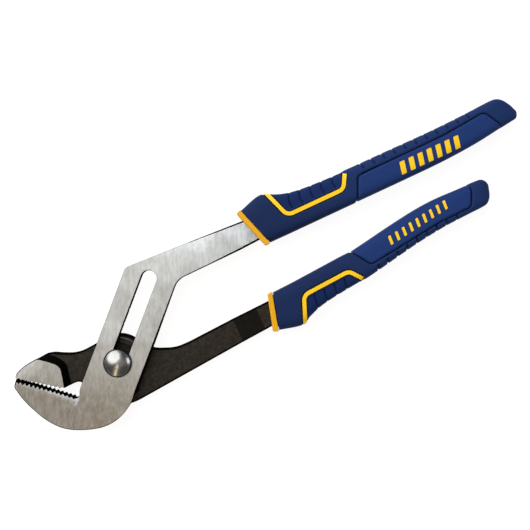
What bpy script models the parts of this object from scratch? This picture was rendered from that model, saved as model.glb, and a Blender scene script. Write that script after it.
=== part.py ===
"""Tongue and groove pliers, 305 mm long, lying on their back with the jaws nearly closed.

Two forged levers cross at a bolt. The slotted lever carries the lower jaw and the upper handle, the
tongued lever carries the upper jaw and the lower handle. The bolt can be moved along the slot to seven
places, and at each of them an arc shaped tongue sits in an arc shaped groove. Each handle wears a grip
of three mouldings: a hard yellow core, a soft blue shell and a soft blue pad.

Lengths are in millimetres and angles in degrees, and meshes are made in metres. The origin is on the
bolt's axis at the surface that the tool lies on. +X runs along the upper handle, away from the jaws,
+Y points from the lower handle to the upper one, and +Z points to the bolt's head.
"""

from math import asin, atan2, ceil, cos, degrees, pi, radians, sin, tan

import bmesh
import bpy
from mathutils import Vector

MM = 0.001
GAP = 0.3
TALL = 60.0

# Heights above the surface that the tool lies on
GRIP_THICKNESS = 18.0
MID_HEIGHT = GRIP_THICKNESS / 2
NECK_THICKNESS = 6.0
NECK_BACK = MID_HEIGHT - GAP / 2 - NECK_THICKNESS
HUB_FRONT = MID_HEIGHT - GAP / 2
NECK_FRONT_BACK = MID_HEIGHT + GAP / 2
JAW_FRONT = MID_HEIGHT + GAP / 2 + NECK_THICKNESS
TANG_THICKNESS = 6.0
TANG_BACK = MID_HEIGHT - TANG_THICKNESS / 2
TANG_FRONT = MID_HEIGHT + TANG_THICKNESS / 2

# Slot and the seven places of the bolt
SLOT_ANGLE = 44.4
SLOT_HALF_WIDTH = 4.2
NECK_HALF_WIDTH = 14.0
SLOT_OFFSET = 0.33
GROOVE_PITCH = 7.85
GROOVE_COUNT = 7
TRAVEL = GROOVE_PITCH * (GROOVE_COUNT - 1)
SHIFT_TURN = 6.5

# Tongue and grooves
TONGUE_INNER = 10.0
TONGUE_OUTER = 13.4
TONGUE_FROM = -50.0
TONGUE_TO = 18.5
TONGUE_HEIGHT = 2.0
RELIEF_OFFSET = 7.4
HUB_RADIUS = 15.2
REAR_ARC_RADIUS = 23.0
OPEN_ANGLE = 70.0

# Bolt and nut
HEAD_RADIUS = 7.5
HEAD_HEIGHT = 4.4
RIM_HEIGHT = 1.2
SHANK_RADIUS = 3.75
HOLE_RADIUS = SHANK_RADIUS + GAP
NUT_ACROSS_FLATS = 13.0
NUT_THICKNESS = 3.9
NUT_POCKET_RADIUS = 8.0

# Teeth
TOOTH_PITCH = 2.32
TOOTH_DEPTH = 1.0

# Grip walls
CORE_WALL = 1.5
FLANGE_INSET = 0.3
STRIPE_WIDTH = 2.1
STRIPE_FOOT = 5.2
GROOVE_WIDTH = 0.8
RIB_PITCH = 6.22
RIB_WIDTH = 0.9
RIB_DEPTH = 1.0

SLOT_DIRECTION = Vector((cos(radians(SLOT_ANGLE)), sin(radians(SLOT_ANGLE))))
SLOT_NORMAL = Vector((-SLOT_DIRECTION.y, SLOT_DIRECTION.x))


# ---------------------------------------------------------------- outlines


def along_slot(along, across):
    """The point so far along the slot from the bolt's first place, and so far to its left."""
    return tuple(SLOT_DIRECTION * along + SLOT_NORMAL * across)


def polar(radius, angle, centre=(0.0, 0.0)):
    return (centre[0] + radius * cos(radians(angle)), centre[1] + radius * sin(radians(angle)))


def arc(radius, start, end, step=9.0, centre=(0.0, 0.0)):
    """Points on an arc, both ends included."""
    count = max(1, ceil(abs(end - start) / step))
    return [polar(radius, start + (end - start) * i / count, centre) for i in range(count + 1)]


def smooth(points, steps=3):
    """A curve through all the points, both ends included, with so many steps between two of them."""
    curve = []
    padded = [2 * Vector(points[0]) - Vector(points[1])] + [Vector(p) for p in points]
    padded.append(2 * Vector(points[-1]) - Vector(points[-2]))
    for before, start, end, after in zip(padded, padded[1:], padded[2:], padded[3:]):
        for i in range(steps):
            t = i / steps
            curve.append(tuple(0.5 * (2 * start + (end - before) * t
                                      + (2 * before - 5 * start + 4 * end - after) * t * t
                                      + (3 * start - before - 3 * end + after) * t ** 3)))
    curve.append(tuple(points[-1]))
    return curve


def rounded(corners, step=15.0):
    """A closed outline from (x, y, radius) corners, with an arc in each corner that has a radius."""
    outline = []
    for i, (x, y, radius) in enumerate(corners):
        corner = Vector((x, y))
        before = (Vector(corners[i - 1][:2]) - corner).normalized()
        after = (Vector(corners[(i + 1) % len(corners)][:2]) - corner).normalized()
        half = before.angle(after) / 2
        if radius == 0:
            outline.append((x, y))
            continue
        centre = corner + (before + after).normalized() * radius / sin(half)
        start = corner + before * radius / tan(half) - centre
        end = corner + after * radius / tan(half) - centre
        first = degrees(atan2(start.y, start.x))
        turn = (degrees(atan2(end.y, end.x)) - first + 180) % 360 - 180
        outline += arc(radius, first, first + turn, step, tuple(centre))
    return outline


def offset_path(path, distance):
    """An open path moved to its left by the distance, with mitred corners."""
    points = [Vector(p) for p in path]
    sides = [(b - a).normalized() for a, b in zip(points, points[1:])]
    sides = [Vector((-s.y, s.x)) for s in sides]
    moved = [points[0] + sides[0] * distance]
    for point, left, right in zip(points[1:], sides, sides[1:]):
        mitre = (left + right).normalized()
        moved.append(point + mitre * distance / mitre.dot(left))
    moved.append(points[-1] + sides[-1] * distance)
    return [tuple(p) for p in moved]


def band(path, width):
    """The closed outline of a band along an open path."""
    return offset_path(path, width / 2) + offset_path(path, -width / 2)[::-1]


def offset_outline(outline, distance):
    """A closed outline that runs anticlockwise, grown outwards by the distance."""
    wrapped = [outline[-1]] + list(outline) + [outline[0]]
    return offset_path(wrapped, -distance)[1:-1]


def sector(inner, outer, start, end, centre=(0.0, 0.0)):
    """The closed outline of a piece of a ring."""
    return arc(outer, start, end, centre=centre) + arc(inner, end, start, centre=centre)


def teeth(first_gullet, angle, count):
    """A row of V teeth: crest, gullet, crest and so on, from the first gullet's near crest."""
    step = Vector(polar(TOOTH_PITCH, angle))
    out = Vector(polar(TOOTH_DEPTH, angle + 90))
    row = []
    for i in range(count):
        gullet = Vector(first_gullet) + step * i
        row += [tuple(gullet - step / 2 + out), tuple(gullet)]
    row.append(tuple(Vector(first_gullet) + step * (count - 0.5) + out))
    return row


# ---------------------------------------------------------------- solids


def new_object(name, bm):
    bmesh.ops.recalc_face_normals(bm, faces=bm.faces)
    bmesh.ops.scale(bm, vec=(MM, MM, MM), verts=bm.verts)
    mesh = bpy.data.meshes.new(name)
    bm.to_mesh(mesh)
    bm.free()
    obj = bpy.data.objects.new(name, mesh)
    bpy.context.scene.collection.objects.link(obj)
    return obj


def loft(name, rings):
    """A closed solid through rings of equally many points, with a flat cap on each end."""
    bm = bmesh.new()
    rows = [[bm.verts.new(point) for point in ring] for ring in rings]
    count = len(rows[0])
    for low, high in zip(rows, rows[1:]):
        for i in range(count):
            j = (i + 1) % count
            bm.faces.new((low[i], low[j], high[j], high[i]))
    bm.faces.new(rows[0][::-1])
    bm.faces.new(rows[-1])
    return new_object(name, bm)


def prism(name, outline, bottom, top):
    """An upright solid with this outline, between two heights."""
    return loft(name, [[(x, y, z) for x, y in outline] for z in (bottom, top)])


def side_prism(name, profile, low=-TALL, high=TALL):
    """A solid with an outline in X and Z, between two places along Y."""
    return loft(name, [[(x, y, z) for x, z in profile] for y in (low, high)])


def combine(target, tool, operation):
    """Apply a Boolean with the tool to the target, and remove the tool."""
    modifier = target.modifiers.new(operation.lower(), "BOOLEAN")
    modifier.operation = operation
    modifier.object = tool
    with bpy.context.temp_override(object=target, active_object=target):
        bpy.ops.object.modifier_apply(modifier=modifier.name)
    bpy.data.objects.remove(tool)
    return target


def join(target, tool):
    return combine(target, tool, "UNION")


def cut(target, tool):
    return combine(target, tool, "DIFFERENCE")


def keep(target, tool):
    return combine(target, tool, "INTERSECT")


def finish(obj, color, roughness, metallic):
    """Give a piece its own material and smooth shading on its round stretches."""
    material = bpy.data.materials.new(obj.name)
    material.use_nodes = True
    shader = material.node_tree.nodes["Principled BSDF"]
    shader.inputs["Base Color"].default_value = (*color, 1.0)
    shader.inputs["Roughness"].default_value = roughness
    shader.inputs["Metallic"].default_value = metallic
    obj.data.materials.clear()
    obj.data.materials.append(material)
    obj.data.shade_smooth()
    obj.data.set_sharp_from_angle(angle=radians(35))


# ---------------------------------------------------------------- places of the bolt


def bolt_places():
    """The bolt's seven places. It swings along a very flat arc that stays inside the straight slot."""
    half = radians(SHIFT_TURN / 2)
    radius = TRAVEL / 2 / sin(half)
    centre = Vector(along_slot(TRAVEL / 2, -radius * cos(half)))
    start = -centre
    places = []
    for i in range(GROOVE_COUNT):
        turn = -radians(SHIFT_TURN) * i / (GROOVE_COUNT - 1)
        x = start.x * cos(turn) - start.y * sin(turn)
        y = start.x * sin(turn) + start.y * cos(turn)
        places.append((centre.x + x, centre.y + y))
    return places


# ---------------------------------------------------------------- slotted lever

LOWER_JAW_CURVE = [(-55.05, 10.6), (-53.7, 4.0), (-50.9, -3.7), (-46.6, -12.2), (-40.2, -19.8),
                   (-31.0, -24.9), (-20.5, -27.8), (-11.0, -26.6), (-2.9, -22.4)]
LOWER_TEETH_START = (-51.8, 12.9)
LOWER_TEETH_ANGLE = -42.3
LOWER_TEETH_COUNT = 14
THROAT_CURVE = [(-21.5, -1.5), (-24.4, -4.7), (-26.0, -7.2), (-27.0, -7.9)]
JAW_TIP = [(-52.4, 14.9), (-53.9, 13.2), (-54.9, 11.8)]
BEND_CORNER = (47.1, 26.5, 10.0)
NECK_TOP_CORNER = (24.8, 43.95, 2.8)
UPPER_TANG = [(84.0, 26.9), (97.0, 27.5), (118.0, 28.2), (224.0, 30.4),
              (224.0, 36.4), (118.0, 37.8), (97.0, 39.9), (84.0, 40.65)]
UPPER_TANG_SIDE = [(60.0, NECK_FRONT_BACK), (78.0, 5.8), (100.0, TANG_BACK), (TALL * 5, TANG_BACK),
                   (TALL * 5, TANG_FRONT), (112.0, TANG_FRONT), (97.0, 14.2), (72.0, JAW_FRONT)]


def slotted_outline():
    """The whole front outline, anticlockwise from the jaw's tip."""
    corners = [(*BEND_CORNER[:2], BEND_CORNER[2]), (84.0, 26.9, 0)]
    corners += [(x, y, 0) for x, y in UPPER_TANG[1:]]
    corners += [NECK_TOP_CORNER, (*THROAT_CURVE[0], 0), (*LOWER_JAW_CURVE[-1], 0)]
    handle = rounded(corners)[:-2]
    crests = teeth(LOWER_TEETH_START, LOWER_TEETH_ANGLE, LOWER_TEETH_COUNT)[1:]
    return smooth(LOWER_JAW_CURVE) + handle + smooth(THROAT_CURVE, 2) + crests[::-1] + JAW_TIP


def lower_jaw_rear():
    """The part of the lower jaw behind the neck's plane: it ends at the hub's arc and at a stop."""
    outline = slotted_outline()
    rear = prism("lower_jaw_rear", outline, NECK_BACK, NECK_FRONT_BACK + 1.0)
    foot = Vector(polar(REAR_ARC_RADIUS + GAP, 270 + 4.24 - OPEN_ANGLE - 2.0))
    away = Vector((-foot.y, foot.x)).normalized()
    far = foot + away * TALL
    swept = [tuple(foot), tuple(far), (TALL * 6, -TALL), (TALL * 6, TALL), (0.0, TALL), (0.0, 0.0)]
    cut(rear, prism("swept", swept, -1.0, TALL))
    cut(rear, prism("hub_path", arc(REAR_ARC_RADIUS + 2 * GAP, 0, 351, 6.0), -1.0, TALL))
    return rear


def slot_cutter():
    low = [along_slot(*polar(SLOT_HALF_WIDTH, a, (-0.2, SLOT_OFFSET))) for a in range(90, 271, 15)]
    high = [along_slot(*polar(SLOT_HALF_WIDTH, a, (TRAVEL + 0.5, SLOT_OFFSET)))
            for a in range(-90, 91, 15)]
    return prism("slot", low + high, -1.0, TALL)


def groove_cutter(index, centre):
    turn = SHIFT_TURN * index / (GROOVE_COUNT - 1)
    outline = sector(TONGUE_INNER - GAP, TONGUE_OUTER + GAP, SLOT_ANGLE + TONGUE_TO + 2 - turn,
                     SLOT_ANGLE - 92 - turn, centre)
    return prism("groove", outline, 0.0, HUB_FRONT + TONGUE_HEIGHT + GAP)


def relief_cutter():
    """The recess beside the grooves, where the tongue runs while the bolt is moved."""
    edge = NECK_HALF_WIDTH + 4.0
    outline = [along_slot(-9.0, -edge), along_slot(TRAVEL + 16.0, -edge),
               along_slot(TRAVEL + 16.0, -RELIEF_OFFSET), along_slot(-9.0, -RELIEF_OFFSET)]
    return prism("relief", outline, 0.0, HUB_FRONT + TONGUE_HEIGHT + GAP)


def slotted_lever():
    side = [(-TALL, NECK_FRONT_BACK)] + UPPER_TANG_SIDE + [(-TALL, JAW_FRONT)]
    lever = side_prism("slotted_lever", side)
    keep(lever, prism("outline", slotted_outline(), -1.0, TALL))
    join(lever, lower_jaw_rear())
    cut(lever, slot_cutter())
    for index, centre in enumerate(bolt_places()):
        cut(lever, groove_cutter(index, centre))
    cut(lever, relief_cutter())
    finish(lever, (0.55, 0.54, 0.51), 0.35, 1.0)
    return lever


# ---------------------------------------------------------------- tongued lever

UPPER_JAW_CURVE = [(-52.5, 15.2), (-51.6, 16.8), (-49.4, 18.2), (-44.5, 19.5), (-38.3, 20.1)]
SHOULDER_CURVE = [(-33.4, 20.5), (-29.8, 19.5), (-25.2, 17.0), (-20.2, 14.8), (-15.0, 13.9), (-6.3, 14.3)]
UPPER_TEETH_START = (-50.7, 14.8)
UPPER_TEETH_ANGLE = -36.8
UPPER_TEETH_COUNT = 11
JAW_STEP_TOP = [(-37.0, 19.1), (-33.2, 16.2), (-29.9, 13.0), (-28.8, 10.6), (-28.9, 8.6), (-29.7, 5.0)]
JAW_STEP_FOOT = [(-33.4, 20.2), (-29.8, 17.2), (-27.3, 13.9), (-26.2, 11.2), (-26.3, 8.8), (-27.2, 5.0)]
JAW_HEEL = (-31.1, -0.15)
HANDLE_TOP_CURVE = [(14.5, 5.0), (19.2, -0.4), (25.0, -3.5), (31.0, -5.5), (38.0, -6.0)]
LOWER_TANG = [(86.0, -4.1), (110.0, -4.6), (140.0, -1.5), (186.0, 3.6), (200.0, 3.4),
              (200.0, -2.6), (186.0, -2.9), (140.0, -10.2), (110.0, -14.4), (82.0, -17.0)]
REAR_CURVE = [(-22.95, -1.5), (-24.0, -0.6), (-25.7, -0.2), (-28.0, -0.15)]
LOWER_TANG_SIDE = [(64.5, NECK_BACK), (78.2, TANG_BACK), (TALL * 5, TANG_BACK),
                   (TALL * 5, TANG_FRONT), (78.2, TANG_FRONT), (64.5, HUB_FRONT)]


def upper_jaw_teeth():
    """The upper jaw's teeth point down, so the row is built upside down and read from the heel."""
    step = Vector(polar(TOOTH_PITCH, UPPER_TEETH_ANGLE))
    down = Vector(polar(TOOTH_DEPTH, UPPER_TEETH_ANGLE - 90))
    row = []
    for i in range(UPPER_TEETH_COUNT):
        gullet = Vector(UPPER_TEETH_START) + step * i
        row += [tuple(gullet), tuple(gullet + step / 2 + down)]
    return row[:-1]


def tongued_outline():
    """The whole front outline, clockwise from the jaw's tip."""
    hub = arc(HUB_RADIUS, 110, 21)
    handle = smooth(HANDLE_TOP_CURVE, 3) + [(65.0, -4.8)] + LOWER_TANG
    rear = arc(REAR_ARC_RADIUS, -85.8, -175.0, 8.0)
    heel = [JAW_HEEL] + upper_jaw_teeth()[::-1]
    top = smooth(UPPER_JAW_CURVE, 2) + smooth(SHOULDER_CURVE, 3)
    return top + hub + handle + rear + smooth(REAR_CURVE, 2) + heel


def upper_jaw():
    """The full thickness jaw, with its sloping step down to the thin neck."""
    teeth_row = upper_jaw_teeth()[::-1]
    tip = smooth(UPPER_JAW_CURVE, 2)
    top = tip + JAW_STEP_TOP + [JAW_HEEL] + teeth_row
    foot = tip + JAW_STEP_FOOT + [(JAW_HEEL[0] + 3.0, JAW_HEEL[1])] + teeth_row
    heights = ((foot, NECK_BACK), (foot, HUB_FRONT), (top, JAW_FRONT))
    return loft("upper_jaw", [[(x, y, z) for x, y in outline] for outline, z in heights])


def tongued_lever():
    side = [(-TALL, NECK_BACK)] + LOWER_TANG_SIDE + [(-TALL, HUB_FRONT)]
    lever = side_prism("tongued_lever", side)
    keep(lever, prism("outline", tongued_outline(), -1.0, TALL))
    join(lever, upper_jaw())
    tongue = sector(TONGUE_INNER, TONGUE_OUTER, SLOT_ANGLE + TONGUE_TO, SLOT_ANGLE + TONGUE_FROM)
    join(lever, prism("tongue", tongue, HUB_FRONT - 1.0, HUB_FRONT + TONGUE_HEIGHT))
    cut(lever, prism("hole", arc(HOLE_RADIUS, 0, 345, 15.0), -1.0, TALL))
    cut(lever, prism("nut_pocket", arc(NUT_POCKET_RADIUS, 0, 345, 15.0), -1.0, NUT_THICKNESS + GAP))
    finish(lever, (0.05, 0.045, 0.04), 0.5, 1.0)
    return lever


# ---------------------------------------------------------------- bolt and nut


def turned(name, profile, sides=24):
    """A solid of revolution about Z, from (radius, height) points, closed by flat ends."""
    rings = []
    for radius, height in profile:
        rings.append([(*polar(radius, 360 * i / sides), height) for i in range(sides)])
    return loft(name, rings)


def pivot_bolt():
    under_head = JAW_FRONT + GAP
    dome_height = HEAD_HEIGHT - RIM_HEIGHT
    ball = (HEAD_RADIUS ** 2 + dome_height ** 2) / (2 * dome_height)
    steps = 6
    rim = degrees(asin(HEAD_RADIUS / ball))
    dome = [(HEAD_RADIUS, under_head)]
    for i in range(steps):
        angle = radians(rim * (1 - i / steps))
        dome.append((ball * sin(angle), under_head + HEAD_HEIGHT - ball * (1 - cos(angle))))
    dome.append((0.4, under_head + HEAD_HEIGHT))
    shank = [(SHANK_RADIUS - 0.4, 0.0), (SHANK_RADIUS, 0.4), (SHANK_RADIUS, under_head)]
    bolt = turned("pivot_bolt", shank + dome)
    finish(bolt, (0.72, 0.72, 0.72), 0.12, 1.0)
    return bolt


def pivot_nut():
    radius = NUT_ACROSS_FLATS / 2 / cos(pi / 6)
    nut = prism("pivot_nut", [polar(radius, 60 * i) for i in range(6)], 0.0, NUT_THICKNESS)
    cut(nut, prism("nut_bore", arc(HOLE_RADIUS, 0, 345, 15.0), -1.0, NUT_THICKNESS + 1.0))
    finish(nut, (0.35, 0.35, 0.35), 0.35, 1.0)
    return nut


# ---------------------------------------------------------------- grips

UPPER_GRIP = {
    "name": "upper_grip",
    "outward": 1.0,
    "inner": [(100.0, 23.7), (104.5, 23.65), (110.0, 23.6), (116.0, 23.6), (124.0, 23.6), (135.0, 23.6),
              (152.0, 23.6), (176.0, 23.6), (196.0, 23.7), (210.0, 24.2), (223.0, 25.2), (236.0, 26.9),
              (243.0, 27.8), (245.9, 28.3), (247.3, 30.2)],
    "outer": [(93.0, 45.6), (104.3, 48.8), (110.5, 47.2), (116.5, 44.9), (124.0, 43.3), (135.0, 42.4),
              (152.0, 41.8), (176.0, 41.6), (196.0, 41.4), (210.0, 41.5), (223.0, 41.9), (236.0, 42.5),
              (240.2, 42.1), (243.0, 40.2), (245.5, 36.6)],
    "half_height": [9.0, 9.0, 9.0, 9.0, 9.0, 9.0, 9.0, 9.0, 9.0, 9.0, 9.0, 8.7, 7.6, 6.4, 4.6],
    "end": (247.9, 31.6, 32.6, 3.0),
    "flange": [(89.9, 44.9, 0.9), (96.9, 23.1, 1.0), (99.75, 23.3, 0.6), (92.75, 45.8, 0.6)],
    "tang": UPPER_TANG,
    "side": UPPER_TANG_SIDE,
    "stripe": [(108.3, 49.5), (114.0, 32.7), (146.5, 32.7), (150.6, 39.9)],
    "pad": [(149.7, 18.0), (150.8, 23.6), (156.4, 35.9), (206.0, 36.1), (230.6, 38.2), (236.2, 28.6),
            (235.4, 18.0)],
    "thumb_ribs": (118.5, 5),
    "edge_ribs": (160.6, 11),
}

LOWER_GRIP = {
    "name": "lower_grip",
    "outward": -1.0,
    "inner": [(90.0, -1.0), (95.0, -0.8), (101.0, -0.6), (108.0, -0.2), (118.0, 0.4), (130.0, 1.1),
              (137.0, 1.4), (146.0, 2.7), (158.0, 4.6), (170.0, 6.3), (180.0, 7.4), (190.0, 7.8),
              (202.0, 7.4), (212.0, 7.2), (215.3, 6.7), (217.1, 5.0)],
    "outer": [(84.6, -20.5), (96.8, -23.3), (103.0, -21.2), (110.0, -18.9), (119.0, -17.4), (130.0, -16.2),
              (137.0, -15.4), (146.0, -14.0), (158.0, -11.9), (170.0, -9.9), (180.0, -8.6), (190.0, -7.7),
              (202.0, -7.2), (210.5, -6.9), (213.4, -6.0), (215.3, -4.0)],
    "half_height": [9.0, 9.0, 9.0, 9.0, 9.0, 9.0, 9.0, 9.0, 9.0, 9.0, 9.0, 9.0, 8.7, 7.6, 6.4, 4.6],
    "end": (218.0, 2.4, 0.9, 3.0),
    "flange": [(86.9, -0.5, 1.0), (81.2, -19.7, 0.9), (84.2, -20.8, 0.6), (89.8, -0.6, 0.6)],
    "tang": LOWER_TANG[::-1],
    "side": LOWER_TANG_SIDE,
    "stripe": [(98.0, -24.3), (104.1, -9.1), (130.8, -7.6), (135.9, -14.2)],
    "pad": [(135.3, 7.0), (136.5, 1.0), (143.2, -9.5), (185.0, -4.6), (203.8, -4.2), (207.6, 3.6),
            (206.8, 13.0)],
    "thumb_ribs": (109.3, 4),
    "edge_ribs": (145.9, 9),
}


def grip_ring(inner, outer, half_height):
    """A rounded box section, standing on the line from the inner to the outer edge."""
    inner, outer = Vector(inner), Vector(outer)
    width = (outer - inner).length
    radius = min(5.0, width / 2.2, half_height / 1.1)
    centres = ((1 - radius / width, half_height - radius, 0), (radius / width, half_height - radius, 90),
               (radius / width, radius - half_height, 180), (1 - radius / width, radius - half_height, 270))
    ring = []
    for share, height, start in centres:
        middle = inner.lerp(outer, share)
        across = (outer - inner).normalized()
        for angle in range(start, start + 91, 30):
            spot = middle + across * radius * cos(radians(angle))
            ring.append((spot.x, spot.y, MID_HEIGHT + height + radius * sin(radians(angle))))
    return ring


def grip_body(grip):
    """The solid with the whole outer shape of a grip behind its flange."""
    edges = zip(smooth(grip["inner"], 2), smooth(grip["outer"], 2),
                smooth([(h, 0.0) for h in grip["half_height"]], 2))
    rings = [grip_ring(inner, outer, height) for inner, outer, (height, _) in edges]
    x, inner_y, outer_y, height = grip["end"]
    rings.append(grip_ring((x, inner_y), (x - 0.05, outer_y), height / 2))
    return loft(grip["name"], rings)


def grown_tang(grip, distance):
    """The tang's bar inside the grip, grown on all sides by the distance."""
    outline = grip["tang"]
    bar = prism("grown_tang", offset_outline(outline, distance), -1.0, TALL)
    low, high = side_edges(grip["side"])
    profile = offset_path(low, -distance) + offset_path(high, -distance)
    return keep(bar, side_prism("grown_side", profile))


def side_edges(side):
    """The lower and upper edges of a lever's side profile, each an open path, anticlockwise."""
    half = len(side) // 2
    return side[:half], side[half:]


def stripe_band(grip, width, front):
    """The stripe's band on one face, from the face's surface down to the core."""
    path = open_rounded(grip["stripe"], 4.5)
    low, high = (GRIP_THICKNESS - STRIPE_FOOT, TALL) if front else (-TALL, STRIPE_FOOT)
    grow = (STRIPE_WIDTH - width) / 2
    if front:
        low += grow
    else:
        high -= grow
    return prism("stripe", band(path, width), low, high)


def open_rounded(path, radius):
    """An open path with an arc in each inner corner."""
    corners = [(*path[0], 0)] + [(x, y, radius) for x, y in path[1:-1]] + [(*path[-1], 0)]
    return rounded(corners)


def grip_core(grip):
    """The hard core: a sleeve round the tang, the front flange, and the stripe on both faces."""
    (x0, y0, _), (x1, y1, _), (x2, y2, _), (x3, y3, _) = grip["flange"]
    name = grip["name"] + "_core"
    core = prism(name, rounded(grip["flange"], 30.0), FLANGE_INSET, GRIP_THICKNESS - FLANGE_INSET)
    sleeve = grown_tang(grip, GAP + CORE_WALL)
    middle = [((x0 + x3) / 2, (y0 + y3) / 2), ((x1 + x2) / 2, (y1 + y2) / 2)]
    behind = middle + [(TALL * 6, y1), (TALL * 6, y0)]
    keep(sleeve, prism("behind", behind, -1.0, TALL))
    for front in (True, False):
        stripe = stripe_band(grip, STRIPE_WIDTH, front)
        join(sleeve, keep(stripe, grip_body(grip)))
    join(core, sleeve)
    cut(core, grown_tang(grip, GAP))
    finish(core, (0.85, 0.5, 0.02), 0.4, 0.0)
    return core


def rib_cutters(grip, name):
    """Short grooves across the outer edge, spaced evenly along it."""
    edge = smooth(grip["outer"], 4)
    cutters = []
    for first, count in (grip["thumb_ribs"], grip["edge_ribs"]):
        for i in range(count):
            x = first + i * RIB_PITCH
            y = edge_height(edge, x) - grip["outward"] * RIB_DEPTH
            top = y + grip["outward"] * 5.0
            half = RIB_WIDTH / 2
            outline = [(x - half, y), (x + half, y), (x + half, top), (x - half, top)]
            cutters.append(prism(name, outline, 5.5, GRIP_THICKNESS - 5.5))
    return cutters


def edge_height(edge, x):
    """The height of an edge, given as points, at this x."""
    for (x0, y0), (x1, y1) in zip(edge, edge[1:]):
        if x0 <= x <= x1:
            return y0 + (y1 - y0) * (x - x0) / (x1 - x0)
    raise ValueError(f"the edge does not reach {x}")


def pad_region(grip, grow):
    """The pad's outline, closed beyond the grip's inner edge and grown by the distance."""
    outline = grip["pad"]
    if grip["outward"] > 0:
        outline = outline[::-1]
    return prism("pad_region", offset_outline(outline, grow), -TALL, TALL)


def grip_shell(grip):
    """The soft shell round the core, open where the stripe and the pad lie."""
    shell = grip_body(grip)
    shell.name = grip["name"] + "_shell"
    cut(shell, grown_tang(grip, CORE_WALL + 2 * GAP))
    for front in (True, False):
        cut(shell, stripe_band(grip, STRIPE_WIDTH + 2 * GAP, front))
    cut(shell, pad_region(grip, GROOVE_WIDTH / 2))
    for cutter in rib_cutters(grip, "rib"):
        cut(shell, cutter)
    finish(shell, (0.014, 0.024, 0.11), 0.45, 0.0)
    return shell


def grip_pad(grip):
    """The soft pad that wraps the inner side of the grip's rear half."""
    pad = grip_body(grip)
    pad.name = grip["name"] + "_pad"
    keep(pad, pad_region(grip, -GROOVE_WIDTH / 2))
    cut(pad, grown_tang(grip, CORE_WALL + 2 * GAP))
    finish(pad, (0.018, 0.03, 0.14), 0.4, 0.0)
    return pad


# ---------------------------------------------------------------- assembly


def pivot_empty():
    """The hinge between bolt and tongued lever, which the moving pieces hang from."""
    empty = bpy.data.objects.new("jaw_hinge", None)
    bpy.context.scene.collection.objects.link(empty)
    return empty


def build():
    for obj in list(bpy.data.objects):
        bpy.data.objects.remove(obj)
    slotted_lever()
    hinge = pivot_empty()
    moving = [tongued_lever(), pivot_bolt(), pivot_nut()]
    for make in (grip_core, grip_shell, grip_pad):
        make(UPPER_GRIP)
        moving.append(make(LOWER_GRIP))
    for piece in moving:
        piece.parent = hinge


build()
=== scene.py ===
"""Tongue and groove pliers: the finished look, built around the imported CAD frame.

Lengths are in millimetres until a mesh is made, and angles in degrees. The frame is the CAD's: the
origin lies under the bolt, +X runs along the upper handle and +Z points to the bolt's head.
"""

from math import asin, atan2, ceil, cos, degrees, hypot, pi, radians, sin, tan

import bmesh
import bpy
import numpy as np
from mathutils import Matrix, Vector


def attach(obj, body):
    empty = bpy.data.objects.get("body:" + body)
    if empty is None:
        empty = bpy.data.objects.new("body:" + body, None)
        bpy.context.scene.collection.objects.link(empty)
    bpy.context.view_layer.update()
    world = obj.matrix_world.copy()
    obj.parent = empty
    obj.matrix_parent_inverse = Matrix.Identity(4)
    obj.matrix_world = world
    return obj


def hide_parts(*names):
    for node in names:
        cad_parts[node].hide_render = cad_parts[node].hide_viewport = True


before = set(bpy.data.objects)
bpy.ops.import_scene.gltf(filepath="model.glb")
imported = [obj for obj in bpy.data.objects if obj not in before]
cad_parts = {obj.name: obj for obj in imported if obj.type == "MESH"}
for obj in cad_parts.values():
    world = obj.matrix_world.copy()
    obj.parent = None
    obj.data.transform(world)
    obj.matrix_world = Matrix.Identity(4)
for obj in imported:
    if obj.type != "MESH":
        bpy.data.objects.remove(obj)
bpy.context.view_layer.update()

MM = 0.001
GAP = 0.3
TALL = 60.0

# Heights: the hub lies behind the neck, and both jaws are as thick as hub and neck together
MID = 9.0
HUB_BACK = 2.85
HUB_FRONT = 8.85
NECK_BACK = 9.15
JAW_FRONT = 15.15

# Neck, slot and grooves
SLOT_ANGLE = 44.4
SLOT_HALF_WIDTH = 4.2
SLOT_OFFSET = 0.33
NECK_HALF_WIDTH = 14.0
TRAVEL = 47.1
GROOVE_COUNT = 7
SHIFT_TURN = 6.5
RELIEF_OFFSET = 7.4
INNER_SIDE = -12.0
# The neck's inner wall leans out by this much and is painted near-black, as a painted shadow band beside
# the neck.
SHADOW_BAND_DRAFT = 2.2

# Tongue and hub
TONGUE_INNER = 10.0
TONGUE_OUTER = 13.4
TONGUE_FROM = -50.0
TONGUE_TO = 18.5
TONGUE_HEIGHT = 2.0
GROOVE_SWEEP = 92.0
HUB_RADIUS = 15.2
REAR_ARC_RADIUS = 23.0
REAR_CORNER_ANGLE = 274.24
OPEN_ANGLE = 70.0
SPARE_ANGLE = 2.0

# Bolt and nut
HEAD_RADIUS = 7.5
HEAD_HEIGHT = 4.4
RIM_HEIGHT = 1.2
DOME_STEPS = 20
SHANK_RADIUS = 3.75
THREAD_PITCH = 0.8
THREAD_DEPTH = 0.35
NUT_RADIUS = 7.5
NUT_THICKNESS = 3.9
NUT_POCKET_RADIUS = 8.0

# Teeth and edges
TOOTH_PITCH = 2.32
TOOTH_DEPTH = 1.0
FINE_EDGE = 0.14
PLAIN_EDGE = 0.42
SLOT_EDGE = 0.36
FORGED_EDGE = 1.0
TANG_EDGE = 1.1
INNER_TANG_EDGE = 0.9
THROAT_X = -28.0

# Grips
CORE_WALL = 1.5
STRIPE_WIDTH = 2.1
STRIPE_PROUD = 0.15
STRIPE_GAP = 0.5
PAD_SINK = 0.12
PAD_GAP = 0.5

SLOT_DIRECTION = Vector((cos(radians(SLOT_ANGLE)), sin(radians(SLOT_ANGLE))))
SLOT_NORMAL = Vector((-SLOT_DIRECTION.y, SLOT_DIRECTION.x))


# ------------------------ outlines


def along_slot(along, across):
    """The point so far along the slot from the bolt's first place, and so far to its left."""
    return tuple(SLOT_DIRECTION * along + SLOT_NORMAL * across)


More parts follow.
